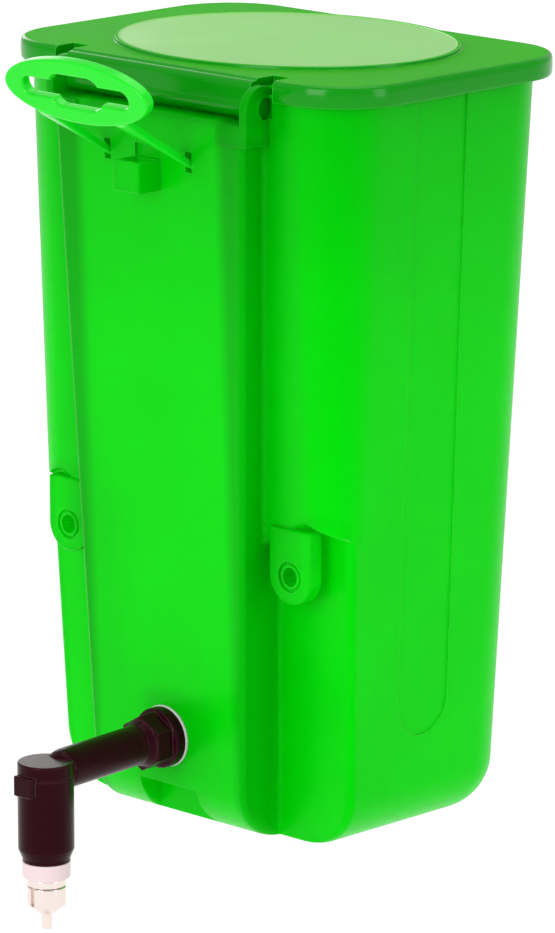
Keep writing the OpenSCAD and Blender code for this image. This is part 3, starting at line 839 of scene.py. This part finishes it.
normal = (clip_spot(0, 0, 1) - clip_spot(0, 0, 0)).normalized()
origin = clip_spot(0, 0, 0)
for side in (1, -1):
    rim = [e for e in open_edges if ((e.verts[0].co - origin).dot(normal) > 0) == (side > 0)]
    bmesh.ops.triangle_fill(tidy, edges=rim, use_beauty=True)
bmesh.ops.recalc_face_normals(tidy, faces=tidy.faces)
tidy.to_mesh(clip_mesh)
tidy.free()
clip = bpy.data.objects.new("hanging_clip_ring", clip_mesh)
bpy.context.scene.collection.objects.link(clip)

legs = []
foot_y = PIVOT_Y - CLIP_OUT + math.sin(CLIP_LEAN) * 7.0
foot_z = PIVOT_Z + CLIP_UP - math.cos(CLIP_LEAN) * 7.0
for side in (-1, 1):
    start = Vector((side * LEG_X, PIVOT_Y, PIVOT_Z))
    end = Vector((side * (LEG_X - 1), foot_y, foot_z))
    along = (end - start).normalized()
    over = along.cross(Vector((1, 0, 0))).normalized()
    rings = []
    for far, half_x, half_t in ((-0.03, 0.4, 0.45), (-0.022, 0.62, 0.8), (0, 0.7, 0.92), (0.25, 0.9, 1.0),
                                (0.55, 1.35, 1.1), (0.82, 1.95, 1.2), (1.0, 2.3, 1.3), (1.03, 2.0, 1.1)):
        mid = start.lerp(end, far)
        ring = []
        for a in (2 * math.pi * j / 24 for j in range(24)):
            c, s = math.cos(a), math.sin(a)
            u = math.copysign(abs(c) ** 0.55, c) * half_x
            v = math.copysign(abs(s) ** 0.55, s) * half_t
            ring.append(put(*(mid + Vector((u, 0, 0)) + over * v)))
        rings.append(ring)
    leg = build("leg", *loft(rings, True, True))
    legs.append(leg)
    legs.append(turned("peg", rod(0.8, side * LEG_X - 2.4, side * LEG_X + 2.4), [0.2, 0.2],
                       lambda a, b, h: put(h, PIVOT_Y + a, PIVOT_Z + b), 24))
carve(clip, legs, "UNION")
shade(clip, 35)
clip_plastic = moulding("bright_green_clip", (0.002, 0.62, 0.008), (0.004, 0.74, 0.012),
                        (0.2, 1.0, 0.2), 0.2, bump=0.00003, grain_share=0.08,
                        plain={"Specular IOR Level": 0.3})
clip.data.materials.clear()
clip.data.materials.append(clip_plastic)
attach(clip, "clip")
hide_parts("hanging_clip")

# ---------------------------------------------------------------- the outlet arm
# A near-black polypropylene pipe that screws through the block with a hexagon
# and a flange, and ends in an upright elbow housing for the nipple.
ARM_LEN = 43.2
ARM_R = 5.25
WASHER = 0.8
FLANGE = 3.2
ELBOW_R = 7.25
TILT_C = math.cos(SPOUT_TILT)
TILT_S = math.sin(SPOUT_TILT)
ELBOW_Y = face_y(SPOUT_Z) - ARM_LEN
ELBOW_Z = SPOUT_Z - LEAN * ARM_LEN
CAP_LOW = ELBOW_Z - 0.2
HOUSE_LOW = ELBOW_Z - 22.8


def arm_spot(a, b, h):
    """Sideways, up and out along the outlet."""
    return put(a, face_y(SPOUT_Z) - b * TILT_S - h * TILT_C, SPOUT_Z + b * TILT_C - h * TILT_S)


def post_spot(a, b, h):
    """About the upright axis of the elbow and nipple."""
    return put(a, ELBOW_Y + b, h)


thread = [(ARM_R - 0.25, -8.9)]
for turn in range(6):
    low = -8.5 + turn * 0.9
    thread += [(4.65, low), (4.98, low + 0.3), (4.98, low + 0.55), (4.65, low + 0.85)]
thread += [(5.0, -3.0), (5.0, 1.4)]
spigot = turned("spigot", [(0, -8.9)] + thread + [(0, 1.4)], [0] * len(thread), arm_spot)
flange = turned("flange", rod(8, WASHER, WASHER + FLANGE),
                [0.25, 0.8], arm_spot)
hexagon = [(7.5 * math.cos(a), 7.5 * math.sin(a)) for a in (math.pi / 6 + math.pi / 3 * k for k in range(6))]
hex_nut = prism("hexagon", hexagon, lambda u, v: arm_spot(u, v, WASHER + 1.2),
                lambda u, v: arm_spot(u, v, WASHER + 8.6), 0.4)
tube_end = ARM_LEN - ARM_R - 1.7


def pipe_profile(r, start):
    """Half the outline of a pipe of radius r that ends in a dome."""
    corner = [(0, start), (r, start)]
    dome = [(r * math.cos(a), tube_end + r * math.sin(a))
            for a in (math.pi / 2 * k / 10 for k in range(10))]
    return corner + dome + [(0, tube_end + r)]


pipe = pipe_profile(ARM_R, WASHER + 1.3)
tube = turned("tube", pipe, [0] * (len(pipe) - 2), arm_spot)
house = turned("house", [(0, HOUSE_LOW), (6.2, HOUSE_LOW), (6.2, HOUSE_LOW + 0.9), (ELBOW_R, HOUSE_LOW + 3.4),
                         (ELBOW_R, CAP_LOW), (0, CAP_LOW)], [0.2, 0.8, 1.2, 0.3], post_spot)
fillet = turned("root", [(0, WASHER + 8.3), (6.4, WASHER + 8.3), (ARM_R + 0.02, WASHER + 10.6),
                         (ARM_R + 0.02, WASHER + 12), (0, WASHER + 12)], [0.1, 1.2, 0.1], arm_spot)
carve(spigot, [flange, hex_nut, fillet, tube, house], "UNION")
arm = spigot
arm.name = "outlet_arm_pipe"
carve(arm, [turned("bore", rod(2.6, -12, ARM_LEN - 5), [0, 0], arm_spot),
            turned("socket", rod(4.2, HOUSE_LOW - 2, HOUSE_LOW + 6.8), [0, 0], post_spot),
            turned("room", rod(3.8, HOUSE_LOW + 6, CAP_LOW - 3.4), [0, 0], post_spot),
            turned("cap_seat", rod(2.6, CAP_LOW - 3.8, CAP_LOW + 2), [0, 0], post_spot)], "DIFFERENCE")
shade(arm, 32)
arm_plastic = moulding("dark_arm_plastic", (0.012, 0.0004, 0.0035), (0.021, 0.0008, 0.0060),
                       (0.12, 0.05, 0.05), 0.24, flow=160.0, bump=0.00004, grain_share=0.12,
                       plain={"Specular IOR Level": 0.12, "Specular Tint": (1.0, 0.5, 0.4, 1.0)})
arm.data.materials.clear()
arm.data.materials.append(arm_plastic)
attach(arm, "tank")
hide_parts("outlet_arm")

# ---------------------------------------------------------------- washer, nut and gasket
# A grey washer sits outside between flange and block. Inside, a rubber gasket
# and a square black nut with broken corners clamp the spigot to the wall.
washer = turned("flange_seal", [(5.2, 0), (8.2, 0), (8.2, WASHER), (5.2, WASHER), (5.2, 0)],
                [0.2, 0.3, 0.2], arm_spot, 72, True)
shade(washer)
washer_rubber = moulding("pale_grey_washer", (0.50, 0.50, 0.50), (0.60, 0.60, 0.60),
                         (0.75, 0.75, 0.75), 0.5, flow=300.0, bump=0.00002)
washer.data.materials.append(washer_rubber)
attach(washer, "tank")
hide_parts("flange_washer")

NUT_HALF = 10.25
nut_line = [(NUT_HALF * a, NUT_HALF * b) for a, b in ((-1, -1), (1, -1), (1, 1), (-1, 1))]
nut = prism("square_nut", nut_line, lambda u, v: arm_spot(u, v, -SKIN - WASHER - 4.5),
            lambda u, v: arm_spot(u, v, -SKIN - WASHER), 0.7)
carve(nut, [turned("nut_bore", rod(5.05, -12, 0), [0, 0], arm_spot)], "DIFFERENCE")
shade(nut)
nut.data.materials.clear()
nut.data.materials.append(arm_plastic)
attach(nut, "tank")
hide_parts("back_nut")

black_rubber = moulding("black_seal_rubber", (0.012, 0.012, 0.012), (0.03, 0.03, 0.03),
                        (0.08, 0.08, 0.08), 0.7, flow=500.0, bump=0.00004)

# ---------------------------------------------------------------- the elbow cap
# A round cap pressed into the top of the elbow housing, notched to straddle
# the pipe, with a finger tongue in front. Same dark plastic as the arm.
CAP_H = 3.8
cap = turned("elbow_lid", rod(ELBOW_R, CAP_LOW, CAP_LOW + CAP_H),
             [0.3, 0.5], post_spot)
stopper = turned("stopper", rod(2.55, CAP_LOW - 2.4, CAP_LOW + 1),
                 [0.3, 0], post_spot)
carve(cap, [stopper], "UNION")
wide = pipe_profile(ARM_R + 0.1, 10)
saddle = turned("saddle", wide, [0] * (len(wide) - 2), arm_spot)
over_pipe = [(-ARM_R - 0.1, 0), (ARM_R + 0.1, 0), (ARM_R + 0.1, 20), (-ARM_R - 0.1, 20)]
gate = prism("gate", over_pipe, lambda u, v: arm_spot(u, v, 10), lambda u, v: arm_spot(u, v, tube_end))
carve(cap, [saddle, gate], "DIFFERENCE")
tongue = block("tongue", (-3.2, ELBOW_Y - ELBOW_R - 1.2, CAP_LOW - 4.4),
               (3.2, ELBOW_Y - ELBOW_R + 1.8, CAP_LOW + 1), 0.5)
clear = turned("clear", rod(ELBOW_R + 0.05, CAP_LOW - 6, CAP_LOW + 0.02), [0, 0], post_spot)
carve(tongue, [clear], "DIFFERENCE")
carve(cap, [tongue], "UNION")
shade(cap, 32)
cap.data.materials.clear()
cap.data.materials.append(arm_plastic)
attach(cap, "tank")
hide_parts("elbow_cap")

# ---------------------------------------------------------------- the nipple
# A white collar screws into the elbow. It holds a turned stainless body, a
# pressed sleeve with a conical nose and side slot, and the trigger pin that
# an animal pushes. Turning leaves fine rings on the steel.
COLLAR_LOW = HOUSE_LOW - 4.4
NOSE_LOW = COLLAR_LOW - 9.5
SEAT = COLLAR_LOW - 0.4
HEAD = SEAT + 1.8
STEM_TOP = HOUSE_LOW + 6.8
collar = turned("white_collar", [(3.15, COLLAR_LOW), (6.2, COLLAR_LOW), (6.2, HOUSE_LOW), (4.15, HOUSE_LOW),
                                 (4.15, STEM_TOP - 0.8), (3.15, STEM_TOP - 0.8), (3.15, COLLAR_LOW)],
                [0.7, 0.35, 0.05, 0.3, 0.2], post_spot, 72, True)
shade(collar)
collar_plastic = moulding("white_collar_plastic", (0.72, 0.55, 0.57), (0.80, 0.65, 0.67),
                          (0.92, 0.90, 0.90), 0.4, flow=260.0, bump=0.00002)
collar.data.materials.append(collar_plastic)
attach(collar, "tank")
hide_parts("nipple_collar")

body = turned("nipple_core", [(2.4, SEAT), (2.4, STEM_TOP), (3.1, STEM_TOP), (3.1, COLLAR_LOW),
                              (5.0, COLLAR_LOW), (5.0, COLLAR_LOW - 2.1), (3.4, COLLAR_LOW - 2.1),
                              (3.4, COLLAR_LOW - 6.2), (1.83, COLLAR_LOW - 6.2), (1.83, SEAT), (2.4, SEAT)],
              [0.05, 0.2, 0.05, 0.3, 0.3, 0.05, 0.2, 0.2, 0.05], post_spot, 72, True)
shade(body)
sleeve = turned("nipple_sleeve_shell", [(3.45, COLLAR_LOW - 2.25), (5.0, COLLAR_LOW - 2.25),
                                        (5.0, COLLAR_LOW - 7.2), (2.2, NOSE_LOW), (1.68, NOSE_LOW),
                                        (1.68, COLLAR_LOW - 6.3), (3.45, COLLAR_LOW - 6.3),
                                        (3.45, COLLAR_LOW - 2.25)],
                [0.35, 0.7, 0.15, 0.1, 0.1, 0.1], post_spot, 72, True)
carve(sleeve, [block("slot", (-0.6, ELBOW_Y - 6, COLLAR_LOW - 7), (0.6, ELBOW_Y - 4.1, COLLAR_LOW - 1))],
      "DIFFERENCE")
shade(sleeve)
PIN_R = 1.38
HEAD_R = 2.2
GUIDE_R = 0.9
pin_tip = NOSE_LOW - 4.4
pin_line = [(0, pin_tip), (PIN_R, pin_tip), (PIN_R, HEAD - 0.44), (HEAD_R, HEAD - 0.44),
            (HEAD_R, HEAD + 1), (GUIDE_R, HEAD + 1), (GUIDE_R, HEAD + 2.4), (0, HEAD + 2.4)]
pin = turned("trigger_pin", pin_line, [0.45, 0.05, 0.1, 0.15, 0.05, 0.2], post_spot, 48)
shade(pin)


def turned_steel(name, dark, light, rough):
    """Bright steel with the fine rings that turning leaves round its axis."""
    made = moulding(name, dark, light, (0.9, 0.88, 0.86), rough, flow=400.0, bump=0.00001,
                    edge_width=0.0004, edge_strength=0.7, plain={"Metallic": 1.0})
    tree = made.node_tree
    where = tree.nodes.new("ShaderNodeTexCoord")
    lines = tree.nodes.new("ShaderNodeTexWave")
    lines.bands_direction = "Z"
    lines.inputs["Scale"].default_value = 900.0
    lines.inputs["Distortion"].default_value = 0.6
    lines.inputs["Detail"].default_value = 2.0
    tree.links.new(where.outputs["Object"], lines.inputs["Vector"])
    relief = tree.nodes["Bump"]
    skin_height = relief.inputs["Height"].links[0].from_socket
    tree.links.new(math_node(tree, "ADD", skin_height, lines.outputs["Fac"]), relief.inputs["Height"])
    return made


steel = turned_steel("turned_steel", (0.80, 0.68, 0.63), (0.95, 0.84, 0.78), 0.2)
for piece, body_name, node in ((body, "tank", "nipple_body"), (sleeve, "tank", "nipple_sleeve"),
                               (pin, "trigger", "valve_pin")):
    piece.data.materials.clear()
    piece.data.materials.append(steel)
    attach(piece, body_name)
    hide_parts(node)

# ---------------------------------------------------------------- parts inside the valve
# Rubber seals, a wire spring, its retainer disc and a drilled strainer, all
# hidden in the elbow: made as drawn, in rubber, drawn wire and pressed steel.
wire_steel = turned_steel("drawn_wire", (0.50, 0.50, 0.52), (0.64, 0.64, 0.66), 0.3)
for node, finish in (("inner_gasket", black_rubber), ("collar_seal", black_rubber),
                     ("valve_seal", black_rubber), ("valve_spring", wire_steel),
                     ("spring_retainer", steel), ("strainer", steel)):
    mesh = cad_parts[node].data
    mesh.materials.clear()
    mesh.materials.append(finish)
